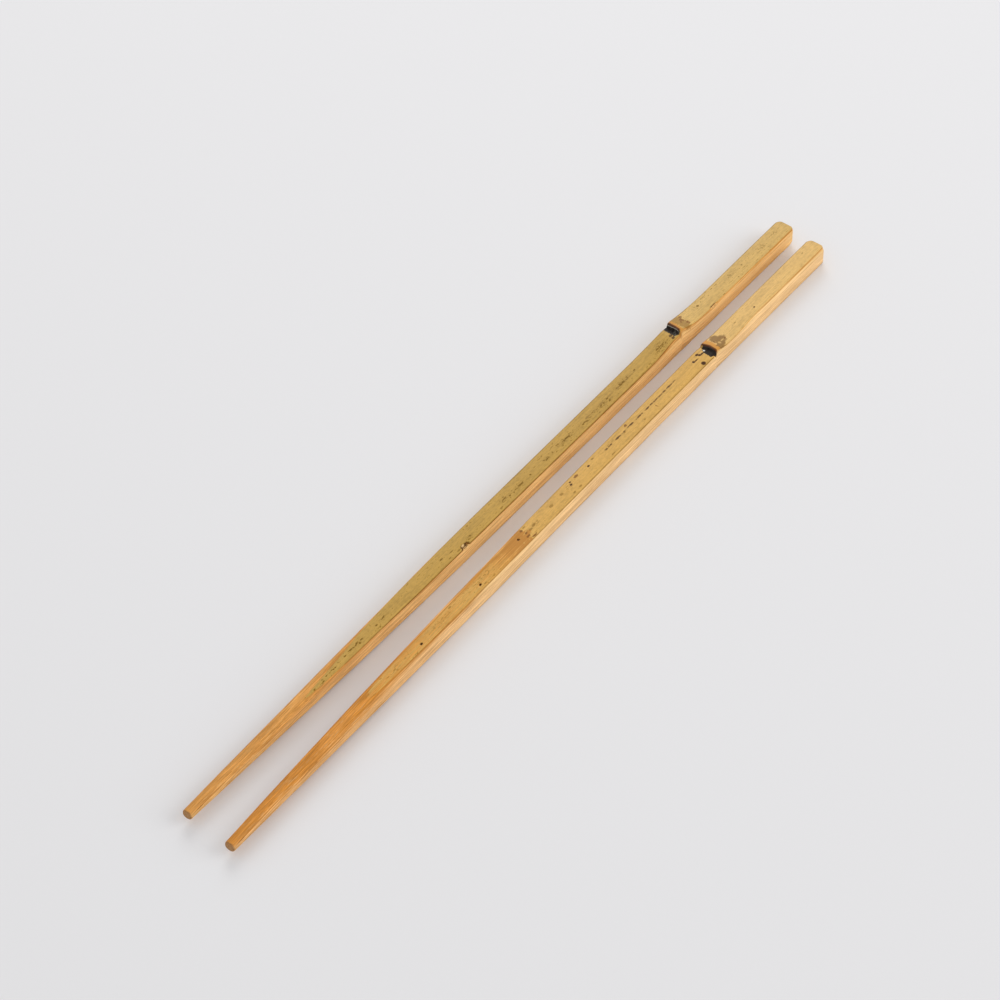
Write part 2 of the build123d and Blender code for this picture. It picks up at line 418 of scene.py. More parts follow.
# A mark's place from the tip and the middle line, its half length and its half width, in millimetres
Mark = namedtuple("Mark", "along across reach width")
# Like marks: the name of their colour and its share, the noise that breaks their borders and how much
# it does so, and how much of their size they fill
Layer = namedtuple("Layer", "paint strength noise broken solid marks")
# Waves of those noises per millimetre, along, across and down
MARK_WAVES = {"lumps": (0.9, 1.7, 1.7), "specks": (1.0, 2.2, 2.2)}
BORDER_BLUR = 0.2
FAR_FROM_MARKS = 9.0

# Losses in the surface: their strength is a depth in millimetres
LEFT_HOLLOWS = Layer("hollow", 0.4, "lumps", 0.8, 0.8, (
    Mark(101.5, -2.1, 1.5, 0.9),
    Mark(204.5, -2.5, 1.8, 0.45),
))
RIGHT_HOLLOWS = Layer("hollow", 0.3, "lumps", 0.0, 0.8, (
    Mark(112, 0.4, 0.35, 0.3),
    Mark(95, -0.8, 0.35, 0.3),
    Mark(72, -0.6, 0.4, 0.3),
))

LEFT_CLOUDS = (
    Mark(61, -0.5, 5, 0.6),
    Mark(71.5, -0.4, 2.5, 0.6),
    Mark(104.5, -0.9, 2, 0.7),
    Mark(119.5, -0.3, 3, 0.9),
    Mark(125, -0.5, 4.5, 1.1),
    Mark(137, -0.5, 4, 0.8),
    Mark(144.5, -0.3, 5, 1.1),
    Mark(151.5, -0.7, 5, 0.9),
    Mark(159.5, -0.6, 6, 1.2),
    Mark(167.5, 0, 5.5, 1.2),
    Mark(184, -0.5, 4.5, 1.9),
)
LEFT_MARKS = (
    Layer("smudge_and_shade", 0.1, "lumps", 2.0, 0.75, LEFT_CLOUDS),
    Layer("smudge_and_shade", 0.9, "specks", 5.0, 0.1, LEFT_CLOUDS),
    Layer("smudge_and_shade", 0.5, "specks", 5.0, 0.05, (
        Mark(200.5, 0.8, 2.5, 1.1),
        Mark(216, 0.6, 4, 1),
        Mark(229, 0, 4, 1.9),
        Mark(235, 0.5, 3, 1),
    )),
    Layer("smudge_and_shade", 0.9, "lumps", 1.2, 0.8, (
        Mark(57, -0.6, 0.5, 0.2),
        Mark(59.5, -0.4, 0.6, 0.25),
        Mark(63.5, -0.4, 0.6, 0.2),
        Mark(69, -0.6, 0.5, 0.28),
        Mark(94.5, -0.1, 0.8, 0.2),
        Mark(98, -0.5, 1, 0.14),
        Mark(121, -0.7, 0.4, 0.25),
        Mark(125.5, -0.5, 1.2, 0.25),
        Mark(129.5, -0.5, 0.4, 0.28),
        Mark(145, -0.2, 1.2, 0.22),
        Mark(161.5, -0.2, 0.5, 0.3),
        Mark(168.5, 0, 0.6, 0.3),
        Mark(173.5, 0.2, 0.5, 0.25),
        Mark(201.5, 0.7, 0.6, 0.4),
        Mark(220.5, 0.5, 0.4, 0.2),
    )),
    Layer("stain", 0.75, "lumps", 2.0, 0.9, (
        Mark(193.3, 1.4, 1.8, 1.4),
        Mark(193.3, -0.8, 1.6, 1.8),
    )),
    Layer("fleck_and_shade", 0.75, "lumps", 2.4, 0.75, (
        Mark(194.3, 0.6, 0.7, 1),
        Mark(194.8, -1.2, 0.6, 0.6),
        Mark(195, 1.6, 0.7, 0.7),
        Mark(193.5, 0.2, 0.5, 0.4),
    )),
    Layer("burn", 0.85, "lumps", 1.6, 0.85, (
        Mark(101.5, -1.9, 1.6, 0.9),
        Mark(188.3, -0.3, 0.6, 0.5),
        Mark(188.1, -1.2, 0.6, 0.5),
        Mark(204.5, -2.2, 1.4, 0.35),
    )),
    Layer("pale", 0.85, "lumps", 0.6, 0.8, (Mark(101.3, -1.6, 0.7, 0.5),)),
)
RIGHT_MARKS = (
    Layer("smudge_and_shade", 0.45, "specks", 5.0, 0.0, (
        Mark(64, -0.2, 8, 0.9),
        Mark(80, 0, 9, 1.4),
        Mark(97, 0.2, 9, 1.7),
        Mark(119, 0.2, 4, 1.6),
        Mark(133, 0.6, 5, 1.5),
        Mark(150, 0.9, 8, 1.2),
        Mark(186.5, 0.6, 3, 1.4),
    )),
    Layer("smudge_and_shade", 0.7, "lumps", 1.6, 0.75, (
        Mark(85, 0.8, 0.6, 0.25),
        Mark(116, 1.7, 0.7, 0.3),
        Mark(116.5, 0, 0.7, 0.4),
        Mark(118, 0.2, 1, 0.5),
        Mark(125.5, 0.4, 0.9, 0.5),
        Mark(130, 0.7, 0.9, 0.45),
        Mark(132.5, -1.5, 0.6, 0.35),
        Mark(135, -1.4, 0.6, 0.4),
        Mark(144, 1.6, 0.6, 0.35),
        Mark(148.5, -1.6, 1, 0.22),
        Mark(156, 0.3, 0.6, 0.3),
        Mark(162.5, -1.1, 0.4, 0.22),
        Mark(203.5, 0.3, 0.6, 0.2),
        Mark(234.5, 0.9, 0.5, 0.28),
    )),
    Layer("stain", 0.85, "lumps", 1.4, 0.95, (
        Mark(195.5, 1, 1.5, 1.3),
        Mark(196.4, -0.2, 1.7, 1.3),
        Mark(195, -1.4, 1.5, 1.1),
    )),
    Layer("handle_skin", 0.65, "lumps", 1.2, 0.8, (
        Mark(195.2, -0.8, 0.4, 0.6),
        Mark(196.5, -0.7, 0.8, 0.3),
    )),
    Layer("fleck_and_shade", 0.85, "lumps", 2.0, 0.75, (
        Mark(194.4, 0.2, 0.25, 0.7),
        Mark(197.5, -0.8, 0.5, 0.2),
        Mark(114.6, 1.5, 0.5, 0.5),
        Mark(114.8, 0.1, 0.7, 0.35),
        Mark(114.3, -0.9, 0.8, 0.35),
        Mark(115.6, -1.9, 1.3, 0.3),
        Mark(137, 1.4, 0.9, 0.5),
        Mark(158, 1.6, 0.6, 0.5),
        Mark(168, -0.7, 0.14, 0.8),
    )),
    Layer("burn", 1.0, "lumps", 0.8, 0.9, (
        Mark(72, -0.6, 0.45, 0.36),
        Mark(95, -0.8, 0.45, 0.34),
        Mark(112, 0.4, 0.45, 0.36),
        Mark(134, 0.7, 0.5, 0.3),
        Mark(134.5, 1.4, 0.35, 0.25),
        Mark(141.5, 0.9, 0.45, 0.3),
        Mark(185.8, 0.6, 0.4, 0.4),
        Mark(186.7, 0.4, 0.7, 0.2),
        Mark(187, -1.6, 0.7, 0.65),
        Mark(188.4, 1.4, 0.6, 0.4),
        Mark(188.7, 0.8, 0.45, 0.4),
        Mark(189.5, 0.6, 0.8, 0.25),
        Mark(211, -0.4, 0.35, 0.24),
    )),
    # Painted glint: a pale highlight dot on the right stick's black node face
    Layer("painted_glint", 1.0, "lumps", 0.4, 0.8, (Mark(190.8, 0.9, 0.34, 0.34),)),
)


# The sticks' form


def stick_sizes(*groups):
    """Every number of these property groups, by its identifier."""
    sizes = {}
    for group in groups:
        for prop in group.bl_rna.properties:
            if prop.type == "FLOAT" and not prop.is_array:
                sizes[prop.identifier] = (prop.name, getattr(group, prop.identifier))
    return sizes


def row_place(size, row):
    """Distance from the tip of a grid row, and how far the row is drawn in to close an end face."""
    lip = size.length - size.node_from_end
    stretches = (
        (TIP_ROWS, size.tip_edge),
        (SHAFT_ROWS, lip - NODE_BEFORE - size.tip_edge),
        (NODE_ROWS, NODE_BEFORE + NODE_AFTER),
        (HANDLE_ROWS, size.node_from_end - NODE_AFTER - size.end_left),
        (CORNER_ROWS, size.end_left),
    )
    along, first = 0, CAP_ROWS
    for rows, reach in stretches:
        along = ramp(row, first, first + rows) * reach + along
        first += rows
    spread = ramp(row, 0, CAP_ROWS) * (1 - ramp(row, first, first + CAP_ROWS))
    return along, spread


def grid_rows():
    return 2 * CAP_ROWS + TIP_ROWS + SHAFT_ROWS + NODE_ROWS + HANDLE_ROWS + CORNER_ROWS + 1


def beyond_lip(graph, size, along, across):
    """Distance beyond the foot of the node's lip, which slants, arches and wavers across the stick."""
    waver = graph.noise(graph.vector(across / MM * 1.3, along / MM * 0.1, 0.0), detail=3.0) - 0.5
    half = size.shaft_width / 2
    arch = size.lip_arch * (1 - across * across / (half * half))
    lip = size.length - size.node_from_end - size.lip_arch * 0.6
    return along - lip - across * size.lip_slant - arch - waver * (0.5 * MM)


def culm_height(size, past_lip, from_axis):
    """Height of the culm's outside: swelling skin, scar, lip, planed ridge and the handle's skin."""
    ridge_end = size.lip_run + size.crest_length
    swell = ramp(past_lip, -size.scar_length - size.swell_run, -size.scar_length)
    step = size.ridge_height + size.scar_depth - size.swell_height
    fall = size.shaft_depth + size.ridge_height - size.handle_depth
    level = (
        size.shaft_depth
        + size.swell_height * swell * swell
        - size.scar_depth * ramp(past_lip, -size.scar_length, 0)
        + step * ramp(past_lip, 0, size.lip_run)
        - fall * (1 - (1 - ramp(past_lip, ridge_end, ridge_end + size.run_out)) ** 3)
    )
    axis = size.shaft_depth - size.culm_diameter / 2
    radius = level - axis
    return axis + (radius * radius - from_axis * from_axis).root()


def plan_outline(size, along, taper, tip_inset):
    """Half the width from above, and how far the two corners of the handle end shift its middle."""
    shaft = ramp(along, size.taper_length, size.length)
    left_inset = round_over(along - size.length + size.end_left, size.end_left)
    right_inset = round_over(along - size.length + size.end_right, size.end_right)
    full = between(size.shaft_width, size.handle_width, shaft)
    half = (between(size.tip_diameter, full, taper) + hump(size.belly, taper)) / 2 - tip_inset
    return half - (right_inset + left_inset) / 2, (right_inset - left_inset) / 2


def planed_edges(size, along, past_lip, reach, left):
    """How far bevels and facets lower the skin; left is 1 on the left half and 0 on the right one."""
    bevel = size.bevel * ease(along, size.bevel_end, size.bevel_end - BEVEL_FADE)
    facet_start, facet_end = FACET_FULL
    facet = size.facet * ease(past_lip, -size.facet_before, facet_start)
    facet = facet * (1 - ease(past_lip, facet_end, size.facet_after))
    handle_bevel = size.handle_bevel * ease(past_lip, *HANDLE_BEVEL_RUN)
    width = between(facet + handle_bevel, bevel, left)
    return (reach + width).most(0) * between(FACET_SLOPE, BEVEL_SLOPE, left)


def stick_section(graph, size, along, turn):
    """Across, height, bow, skin height and edge of a point; turn goes from 0 to 4 round the section.

    From 0 to 1 it crosses the top from the left edge to the right one, then goes down the right
    side, back along the underside and up the left side.
    """
    taper = ramp(along, 0, size.taper_length)
    tip_inset = round_over(size.tip_edge - along, size.tip_edge)
    end_round = round_over(along - size.length + size.end_edge, size.end_edge)
    half, centre = plan_outline(size, along, taper, tip_inset)
    tip_top = size.shaft_depth - size.tip_drop
    top = tip_top + size.tip_drop * along / size.skin_start - tip_inset
    bottom = between(tip_top - size.tip_diameter, -size.sole_trim, taper) + tip_inset
    tip_radius = (size.tip_diameter - size.tip_flat) / 2
    upper_radius = between(tip_radius, size.shoulder_radius, taper) - tip_inset
    lower_radius = between(tip_radius, size.sole_radius, taper) - tip_inset

    upper = (turn.clamp() * math.pi).cos()
    lower = ((turn - 2).clamp() * math.pi).cos()
    across = half * (upper + 1 - lower) + centre
    down = (turn - 1).clamp() - (turn - 3).clamp()
    reach = (across - centre).abs() - half

    sideways = hump(size.bow, along / size.length)
    past_lip = beyond_lip(graph, size, along, across)
    skin = culm_height(size, past_lip, across + sideways)
    planed = planed_edges(size, along, past_lip, reach, across > 0)
    eased_skin = skin - round_over(reach + size.skin_edge, size.skin_edge) - planed - end_round
    shaved = top - hump(size.lean, taper) * across - round_over(reach + upper_radius, upper_radius)
    upper_side = eased_skin.least(shaved)
    heel = round_over(along - size.length + size.heel_radius, size.heel_radius)
    lower_side = (bottom + round_over(reach + lower_radius, lower_radius)).most(heel)
    height = between(upper_side, lower_side, down)
    return across, height, sideways, skin, -reach


def stored(graph, mesh, name, kind, value):
    """The mesh with a value kept on its points."""
    settings = {"data_type": kind, "domain": "POINT"}
    return graph.node("GeometryNodeStoreNamedAttribute", settings, {0: mesh, 2: name, 3: value})


def stick_tree(name, sizes, hollows, material):
    """Geometry nodes that shape one stick from its sizes, with small losses in its surface."""
    tree = bpy.data.node_groups.new(name, "GeometryNodeTree")
    graph = Graph(tree)
    identifiers = {}
    for identifier, (title, value) in sizes.items():
        socket = tree.interface.new_socket(title, in_out="INPUT", socket_type="NodeSocketFloat")
        socket.default_value = value
        identifiers[identifier] = socket.identifier
    tree.interface.new_socket("Geometry", in_out="OUTPUT", socket_type="NodeSocketGeometry")
    group_in = tree.nodes.new("NodeGroupInput")
    group_out = tree.nodes.new("NodeGroupOutput")
    size = SimpleNamespace(**{key: Value(graph, group_in.outputs[i]) for i, key in enumerate(sizes)})

    rows = grid_rows()
    grid = graph.node("GeometryNodeMeshGrid", {}, {0: 1.0, 1: 1.0, 2: rows, 3: COLUMNS + 1})
    grid_x, grid_y, _ = graph.node("GeometryNodeInputPosition", {}, {}).parts()
    along, spread = row_place(size, (grid_x + 0.5) * (rows - 1))
    turn = (0.5 - grid_y) * 4
    across, height, sideways, skin, edge = stick_section(graph, size, along, turn)
    middle = size.shaft_depth - size.tip_drop - size.tip_diameter / 2
    across = across * spread
    height = between(middle, height, spread)

    slope = size.narrowing / size.length
    x = size.tip_x + along - slope * (across + sideways)
    y = size.tip_y + slope * along + across + sideways
    grain = graph.vector(along / MM, across / MM, (skin - height) / MM)
    marked = stored(graph, grid, GRAIN, "FLOAT_VECTOR", grain)
    marked = stored(graph, marked, EDGE, "FLOAT", edge / MM)
    shaped = graph.node("GeometryNodeSetPosition", {}, {0: marked, 2: graph.vector(x, y, height)})
    closed = graph.node("GeometryNodeMergeByDistance", {}, {0: shaped, 2: MERGE_REACH})

    grain = graph.node("GeometryNodeInputNamedAttribute", {"data_type": "FLOAT_VECTOR"}, {0: GRAIN})
    worn = stick_relief(graph, grain, hollows)
    normal = graph.node("GeometryNodeInputNormal", {}, {})
    offset = graph.vector_math("SCALE", {0: normal, "Scale": worn * -MM})
    relief = graph.node("GeometryNodeSetPosition", {}, {0: closed, 3: offset})
    far, wide, deep = grain.parts()
    grain = graph.vector(far, wide, deep + worn)
    relief = stored(graph, relief, GRAIN, "FLOAT_VECTOR", grain)
    smooth = graph.node("GeometryNodeSetShadeSmooth", {"domain": "FACE"}, {0: relief, 2: True})
    real = graph.node("GeometryNodeRealizeInstances", {}, {0: smooth})
    finished = graph.node("GeometryNodeSetMaterial", {}, {0: real, 2: material})
    tree.links.new(finished.socket, group_out.inputs[0])
    return tree, identifiers


def stick_relief(graph, grain, hollows):
    """How far fibres in the cut wood, and hollows, lower the surface, in millimetres."""
    along, across, depth = grain.parts()
    flesh = ramp(depth, 0.1, 0.5)
    threads = graph.vector(along * 0.035, across * 2.2, depth * 2.2)
    fibres = graph.noise(threads, detail=3.0, roughness=0.6)
    strokes = graph.noise(graph.vector(along * 0.09, across * 0.5, depth * 0.5), detail=1.0)
    worn = flesh * (fibres * 0.1 + strokes * 0.1 - 0.06)
    return worn + hollows.strength * layer_mask(graph, grain, hollows)


def mark_noise(graph, grain, layer):
    """Noise about 0 that breaks up the marks of a layer."""
    place = graph.vector_math("MULTIPLY", {0: grain, 1: MARK_WAVES[layer.noise]})
    return graph.noise(place, detail=3.0, roughness=0.6) - 0.5


def layer_mask(graph, grain, layer):
    """1 inside the marks of a layer, 0 outside, with broken borders."""
    noise = mark_noise(graph, grain, layer)
    nearest = FAR_FROM_MARKS
    for mark in layer.marks:
        place = graph.vector_math("SUBTRACT", {0: grain, 1: (mark.along, mark.across, 0.0)})
        stretch = (1 / mark.reach, 1 / mark.width, 1 / mark.width)
        place = graph.vector_math("MULTIPLY", {0: place, 1: stretch})
        nearest = graph.vector_math("LENGTH", {0: place}, 1).least(nearest)
    return ease(noise * layer.broken + nearest, layer.solid + BORDER_BLUR, layer.solid - BORDER_BLUR)


def evaluated_mesh(stick, name):
    """Plain mesh of an object whose modifiers are live."""
    depsgraph = bpy.context.evaluated_depsgraph_get()
    mesh = bpy.data.meshes.new_from_object(
        stick.evaluated_get(depsgraph), preserve_all_data_layers=True, depsgraph=depsgraph
    )
    mesh.name = name
    mesh.materials.pop(index=0)  # the empty slot that comes before the one the tree sets
    return mesh


def build_stick(context, side, own, hollows, node, material):
    """One stick in place of its CAD node; side is +1 on the left."""
    layout = context.scene.pair_layout
    sizes = stick_sizes(context.scene.whittling, own)
    whole = context.scene.whittling.length
    sizes["tip_x"] = ("Tip X", (side * layout.stagger - whole) / 2)
    sizes["tip_y"] = ("Tip Y", side * layout.tip_spacing / 2)
    sizes["narrowing"] = ("Narrowing", side * (layout.handle_spacing - layout.tip_spacing) / 2)
    tree, identifiers = stick_tree(node + " form", sizes, hollows, material)
    stick = bpy.data.objects.new("whittled_" + node, bpy.data.meshes.new(node + " seed"))
    context.scene.collection.objects.link(stick)
    form = stick.modifiers.new("Form", "NODES")
    form.node_group = tree
    for key, (_, value) in sizes.items():
        form[identifiers[key]] = value
    mesh = evaluated_mesh(stick, stick.name)
    stick.modifiers.remove(form)
    stick.data = mesh
    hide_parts(node)
    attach(stick, "root")


# Finishes


def scaled(graph, colour, times):
    """A colour, lighter or darker."""
    colour = colour if isinstance(colour, Value) else tuple(colour)
    return graph.vector_math("SCALE", {0: colour, "Scale": times})


def fibre_noise(graph, grain, stretch, width, detail=3.0):
    """Noise drawn out along the grain, about 0; stretch and width are waves per millimetre."""
    place = graph.vector_math("MULTIPLY", {0: grain, 1: (stretch, width, width)})
    return graph.noise(place, detail=detail, roughness=0.6) - 0.5


def flesh_colour(graph, grain, edge, own, finish):
    """Cut wood: orange under the skin and at the tip, paler within, with fibres and dark flecks, a
    painted highlight line along the right edge and painted shade low on the sides.
    """
    along, across, depth = grain.parts()
    fibres = fibre_noise(graph, grain, 0.05, 2.8, 4.0)
    threads = fibre_noise(graph, grain, 0.09, 7.0)
    clouds = fibre_noise(graph, grain, 0.04, 0.4)
    lines = fibre_noise(graph, grain, 0.06, 6.5, 1.0)
    pores = fibre_noise(graph, grain, 0.25, 3.2, 2.0)
    tip = ease(along + clouds * 40, 110.0, 30.0)
    inner = ease(depth + fibres * 1.5 + clouds * 0.5, 0.0, 0.8)
    colour = graph.mix(inner, finish.outer_flesh, own.flesh)
    # Tip colour fades lower down the sides, and more on the right side: partly deeper cut wood, partly
    # painted light on the right side
    top = ease(depth + fibres * 3 - across * 0.3, 2.6, 1.4)
    colour = graph.mix(tip * between(0.5, 0.95, top), colour, own.tip_flesh)
    colour = graph.mix(ease(pores, -0.08, -0.2) * tip * 0.5, colour, own.flesh)
    shade = fibres * (2.0 - tip * 0.7) + threads * 1.8 + pores * 0.8 + clouds * 0.3
    colour = scaled(graph, colour, 1 + shade.most(0) * between(0.75, 1.1, tip))
    colour = graph.mix(ramp(-shade, 0.0, between(1.0, 0.7, tip)), colour, finish.fibre)
    # Painted highlight: a pale line along the rounded right edge, at its depth below the skin
    pale = ease((depth - own.painted_highlight_depth / MM + fibres * 1.5).abs(), 0.5, 0.1) * ease(edge, 0.5, 0.2)
    pale = pale * ease(along, own.painted_highlight_start / MM - 6, own.painted_highlight_start / MM + 6) * ease(across, 0.5, -0.5)
    colour = graph.mix(pale * 0.75, colour, finish.pale)
    dark = ease(lines, 0.11, 0.19).most(ease(pores, 0.12, 0.22)) * (0.25 + tip * 0.3)
    # Painted shade: the sides darken towards the underside, next to the floor
    painted_shade_below = ease(depth + fibres, 4.3, 5.0) * (1 - tip) * 0.3
    return graph.mix(dark.most(painted_shade_below), colour, finish.fleck_and_shade)


def skin_colour(graph, grain, rim, own, lip):
    """The culm's skin: clouded, streaked and mottled, with painted shade along its rims and a paler
    handle.
    """
    along, across, _ = grain.parts()
    surface = graph.vector(along, across, 0.0)
    clouds = fibre_noise(graph, surface, 0.06, 0.45)
    streaks = fibre_noise(graph, surface, 0.1, 4.0)
    mottle = fibre_noise(graph, surface, 0.7, 1.6, 5.0)
    handle = ease(along, lip - 2.0, lip + 3.0)
    colour = graph.mix(handle, own.shaft_skin, own.handle_skin)
    colour = scaled(graph, colour, 1 + clouds * 0.5 + streaks * 0.6 + mottle * 0.9)
    thin = ease(along, own.skin_whole / MM, own.skin_whole / MM - 15)
    olive = ease(mottle + clouds * 0.5, 0.08, 0.2) * (thin * 0.4 + own.mottling)
    # Painted shade: the skin darkens towards its rounded edges and the handle end, where they turn from
    # the light; little on the handle's right edge
    shade = ease(rim + streaks * 0.3, 0.3, 0.1) * (0.7 - handle * ramp(across, 0.5, -0.5) * 0.6)
    return graph.mix(olive.most(shade), colour, own.smudge_and_shade)


def skin_cover(graph, grain, own, fine):
    """Where the skin is left, streaky towards the tip, and where a bare patch is shaved."""
    along, across, depth = grain.parts()
    surface = graph.vector(along, across, 0.0)
    streaks = fibre_noise(graph, surface, 0.05, 3.0, 4.0)
    blotches = fibre_noise(graph, surface, 0.3, 0.5)
    short = own.skin_whole / MM - along + blotches * 16 + fine * 5
    bare = ease(short, 0.0, 0.8) * ease(short + streaks * 30, 15.0, 7.0) * own.bare
    worn = ease(short, 0.0, 10.0) * ease(streaks, -0.1, 0.1) * 0.75 * own.bare
    cover = ramp(depth + fine * 0.08 + streaks * 0.06, 0.09, 0.06)
    return cover * (1 - bare) * (1 - worn), cover * bare


def node_scar(own, past, across, ragged):
    """The black face and floor of the node, with a ragged lower border."""
    left = (own.scar_left / MM - across) * 0.95
    right = (across + own.scar_right / MM) * 3
    reach = left.least(right).least(own.scar_reach / MM) + ragged * 1.8
    return ramp(past + reach, -0.1, 0.1) * ramp(past, 0.4, 0.3) * ramp(reach, 0.0, 0.3)


def seam_mask(graph, grain, own):
    """A thin dark line along the skin, thick in some places and missing in others."""
    along, across, depth = grain.parts()
    waver = graph.noise(graph.vector(along * 0.3, 0.0, 0.0)) - 0.5
    swell = graph.noise(graph.vector(along * 0.55, 7.0, 0.0), detail=3.0) - 0.5
    reach = (across - own.seam_across / MM - waver * 0.6).abs()
    line = ramp(reach - swell * 0.9, 0.2, 0.08) * ease(swell, -0.12, 0.02)
    start, end = own.seam_start / MM, own.seam_end / MM
    run = ease(along, start, start + 2) * ease(along, end, end - 2)
    return line * run * ramp(depth, 0.3, 0.2) * own.seam_strength


def bamboo(name, own, whole, finish, layers):
    """Bamboo with its skin, cut sides, node and marks, all found from the grain and edge attributes."""
    material = bpy.data.materials.new(name)
    material.use_nodes = True
    graph = Graph(material.node_tree)
    shader = material.node_tree.nodes["Principled BSDF"]
    grain = graph.node("ShaderNodeAttribute", {"attribute_name": GRAIN}, {}, 1)
    edge = graph.node("ShaderNodeAttribute", {"attribute_name": EDGE}, {}, 2)
    along, across, depth = grain.parts()
    lip = (whole - own.node_from_end) / MM
    half = own.shaft_width / MM / 2
    arch = own.lip_arch / MM
    past = along - across * own.lip_slant + across * across * (arch / half**2) - (lip + arch * 0.4)
    fine = fibre_noise(graph, grain, 1.3, 2.2, 4.0)
    blotch = fibre_noise(graph, grain, 0.45, 0.6, 1.0)

    # Skin over cut wood, with a dark border, and bare wood beyond the lip
    flesh = flesh_colour(graph, grain, edge, own, finish)
    skin = skin_colour(graph, grain, edge.least(whole / MM - along), own, lip)
    cover, bare = skin_cover(graph, grain, own, fine)
    colour = graph.mix(cover, flesh, skin)
    colour = graph.mix(bare * 0.75, colour, finish.patch)
    border = ramp(depth + fine * 0.1, 0.03, 0.09) * ramp(depth + fine * 0.2, 0.35, 0.15)
    border = border * (own.border + blotch) * ease(across, 1.0, 0.0)
    border = border * ease(along, 50.0, 75.0) * ease(past, 0.0, -6.0)
    colour = graph.mix(border, colour, finish.fleck_and_shade)
    band = ramp(past, 0.3, 0.5) * ease(past + blotch, own.band / MM + 0.4, own.band / MM - 0.2)
    colour = graph.mix(band * cover * 0.95, colour, finish.outer_flesh)

    # Black face of the node with its painted sheen (a greyish highlight line under the lip and greyish
    # patches), and the burnt lip above it
    face = ramp(depth, 0.9, 0.7)
    scar = node_scar(own, past, across, fine) * face
    # Painted sheen: a greyish highlight line just under the lip, and greyish patches over the black face
    painted_sheen = ease(past + blotch * 0.1, 0.16, 0.22) * ease(across, -1.6, -0.8)
    painted_sheen = painted_sheen.most(ease(blotch + fine, -0.05, 0.2) * 0.3) * own.painted_sheen_strength
    colour = graph.mix(scar, colour, graph.mix(painted_sheen, finish.scar, finish.sheen))
    right_end = ramp(across, -own.scar_right / MM, 0.4 - own.scar_right / MM)
    lip_line = ramp(past, 0.25, 0.28) * ramp(past + blotch * 0.5, 0.95, 0.7) * face * right_end
    colour = graph.mix(lip_line * 0.9, colour, finish.lip)

    # Seam, marks and end grain
    colour = graph.mix(seam_mask(graph, grain, own), colour, finish.burn)
    for layer in layers:
        mask = layer_mask(graph, grain, layer)
        paint = getattr(own if hasattr(own, layer.paint) else finish, layer.paint)
        colour = graph.mix(mask * layer.strength, colour, paint)
    end = ramp(along + fine * 0.5, 0.5, 0.1)
    colour = graph.mix(end * 0.85, colour, scaled(graph, finish.end_grain, 1 + fine * 2.5))

    # Smoother on the skin than on the cut wood
    roughness = between(between(0.55, 0.36, cover) + fine * 0.2, 0.5, scar)
    height = fine * 0.4 + fibre_noise(graph, grain, 0.08, 5.0) * (1.5 - cover)
    bump = graph.node("ShaderNodeBump", {}, {"Strength": 0.4, "Distance": 0.06 * MM, "Height": height})
    shader.inputs["Specular IOR Level"].default_value = 0.1
    links = material.node_tree.links
    links.new(colour.socket, shader.inputs["Base Color"])
    links.new(roughness.socket, shader.inputs["Roughness"])
    links.new(bump.socket, shader.inputs["Normal"])
    return material


# Operators


class CHOPSTICKS_OT_left_stick(bpy.types.Operator):
    """Whittle the left stick"""

    bl_idname = "chopsticks.left_stick"
    bl_label = "Left Stick"

    def execute(self, context):
        scene = context.scene
        own = scene.left_stick
        material = bamboo("left bamboo", own, scene.whittling.length, scene.finish, LEFT_MARKS)
        build_stick(context, 1, own, LEFT_HOLLOWS, "left_chopstick", material)
        return {"FINISHED"}


class CHOPSTICKS_OT_right_stick(bpy.types.Operator):
    """Whittle the right stick"""

    bl_idname = "chopsticks.right_stick"
    bl_label = "Right Stick"

    def execute(self, context):
        scene = context.scene
        own = scene.right_stick
        material = bamboo("right bamboo", own, scene.whittling.length, scene.finish, RIGHT_MARKS)
        build_stick(context, -1, own, RIGHT_HOLLOWS, "right_chopstick", material)
        return {"FINISHED"}


# Studio

CAMERA_ELEVATION = math.radians(47.0)
CAMERA_TURN = math.radians(53.49)  # of the sticks from the picture's right, on the floor
CAMERA_TARGET = Vector((2.87, 9.31, 0.0)) * MM
SENSOR_WIDTH = 36.0
FLOOR_HALF = 3.0
WORLD_STRENGTH = 0.72

SoftBox = namedtuple("SoftBox", "name place width watts")
SOFT_BOXES = (
    SoftBox("window", (1.0, 0.8, 0.85), 0.8, 6.3),
    SoftBox("fill", (0.9, -1.5, 0.95), 1.4, 14.0),
)


def studio_camera(scene):
    look = scene.studio_look
    data = bpy.data.cameras.new("camera")
    data.lens = look.camera_focal
    data.sensor_width = SENSOR_WIDTH
    data.clip_start = 0.01
    camera = bpy.data.objects.new("camera", data)
    scene.collection.objects.link(camera)
    level, rise = math.cos(CAMERA_ELEVATION), math.sin(CAMERA_ELEVATION)
    back = Vector((-math.sin(CAMERA_TURN) * level, -math.cos(CAMERA_TURN) * level, rise))
    camera.location = CAMERA_TARGET + back * look.camera_distance
    camera.rotation_euler = (-back).to_track_quat("-Z", "Y").to_euler()
    scene.camera = camera


def studio_floor(scene):
    mesh = bpy.data.meshes.new("floor")
    turns = ((-1, -1), (1, -1), (1, 1), (-1, 1))
    corners = [(x * FLOOR_HALF, y * FLOOR_HALF, 0) for x, y in turns]
    mesh.from_pydata(corners, [], [(0, 1, 2, 3)])
    floor = bpy.data.objects.new("floor", mesh)
    scene.collection.objects.link(floor)
    material = bpy.data.materials.new("pale floor")
    material.use_nodes = True
    shader = material.node_tree.nodes["Principled BSDF"]
    shader.inputs["Base Color"].default_value = (*scene.studio_look.floor_colour, 1.0)
    shader.inputs["Roughness"].default_value = 0.6
    shader.inputs["Specular IOR Level"].default_value = 0.2
    mesh.materials.append(material)


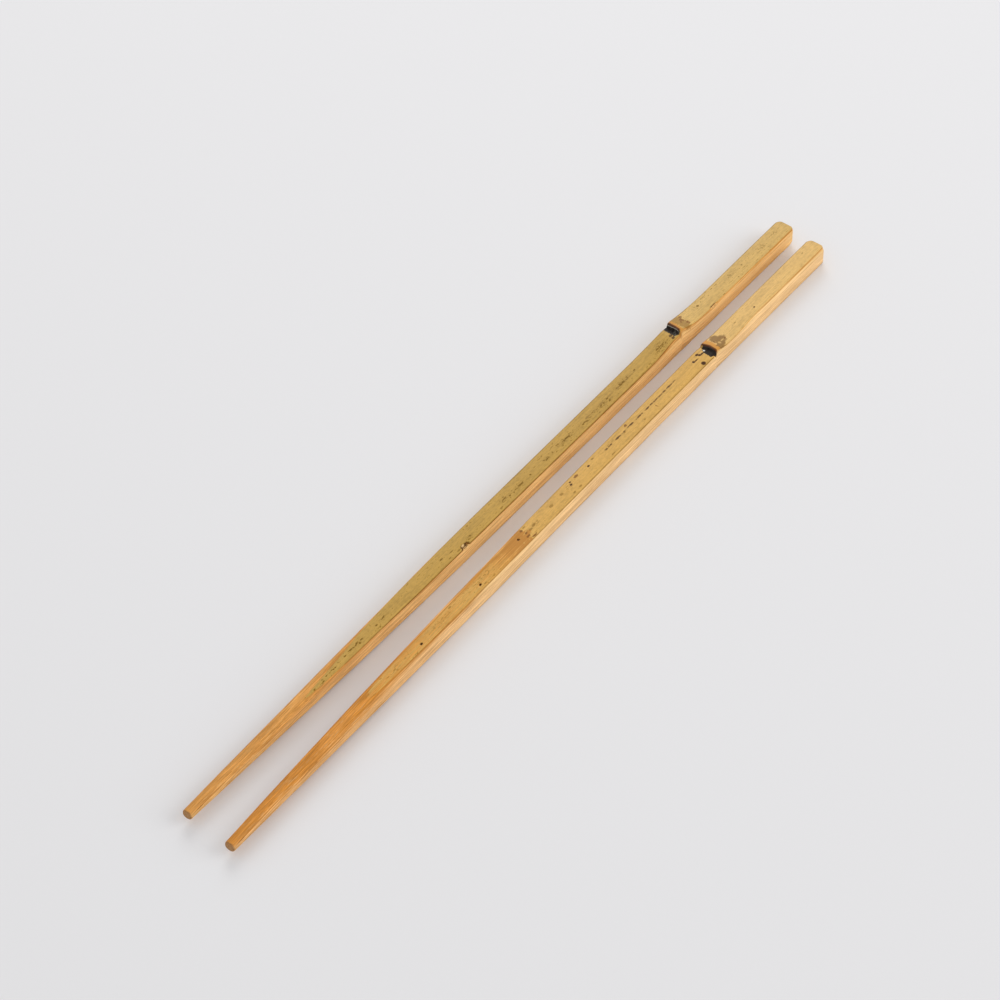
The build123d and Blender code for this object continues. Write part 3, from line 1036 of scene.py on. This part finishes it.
def hang_soft_box(scene, box):
    """A square lamp that faces the middle of the pair."""
    data = bpy.data.lights.new(box.name, "AREA")
    data.shape = "SQUARE"
    data.size = box.width
    data.energy = box.watts
    lamp = bpy.data.objects.new(box.name, data)
    scene.collection.objects.link(lamp)
    lamp.location = box.place
    lamp.rotation_euler = (-Vector(box.place)).to_track_quat("-Z", "Y").to_euler()


def studio_light(scene):
    world = bpy.data.worlds.new("studio")
    world.use_nodes = True
    background = world.node_tree.nodes["Background"]
    background.inputs["Color"].default_value = (1, 1, 1, 1)
    background.inputs["Strength"].default_value = WORLD_STRENGTH
    scene.world = world
    for box in SOFT_BOXES:
        hang_soft_box(scene, box)


class CHOPSTICKS_OT_studio(bpy.types.Operator):
    """Set up the floor, the light and the camera"""

    bl_idname = "chopsticks.studio"
    bl_label = "Studio"

    def execute(self, context):
        context.scene.view_settings.view_transform = "Standard"
        studio_floor(context.scene)
        studio_light(context.scene)
        studio_camera(context.scene)
        return {"FINISHED"}


class CHOPSTICKS_PT_panel(bpy.types.Panel):
    """Lists the builders, and the sizes and colours that they use"""

    bl_idname = "CHOPSTICKS_PT_panel"
    bl_label = "Bamboo Chopsticks"
    bl_space_type = "VIEW_3D"
    bl_region_type = "UI"
    bl_category = "Chopsticks"

    def draw(self, context):
        for operator in OPERATORS:
            self.layout.operator(operator.bl_idname)
        for name, group in GROUPS.items():
            box = self.layout.box()
            box.label(text=group.__doc__)
            for key in group.__annotations__:
                box.prop(getattr(context.scene, name), key)


GROUPS = {
    "pair_layout": PairLayout,
    "whittling": Whittling,
    "left_stick": LeftStick,
    "right_stick": RightStick,
    "finish": Finish,
    "studio_look": StudioLook,
}
OPERATORS = (CHOPSTICKS_OT_left_stick, CHOPSTICKS_OT_right_stick, CHOPSTICKS_OT_studio)


def register():
    for cls in (*GROUPS.values(), *OPERATORS, CHOPSTICKS_PT_panel):
        bpy.utils.register_class(cls)
    for name, group in GROUPS.items():
        setattr(bpy.types.Scene, name, PointerProperty(type=group))


def unregister():
    for name in GROUPS:
        delattr(bpy.types.Scene, name)
    for cls in reversed((*GROUPS.values(), *OPERATORS, CHOPSTICKS_PT_panel)):
        bpy.utils.unregister_class(cls)


def main():
    register()
    bpy.ops.chopsticks.left_stick()
    bpy.ops.chopsticks.right_stick()
    bpy.ops.chopsticks.studio()


if __name__ == "__main__":
    main()
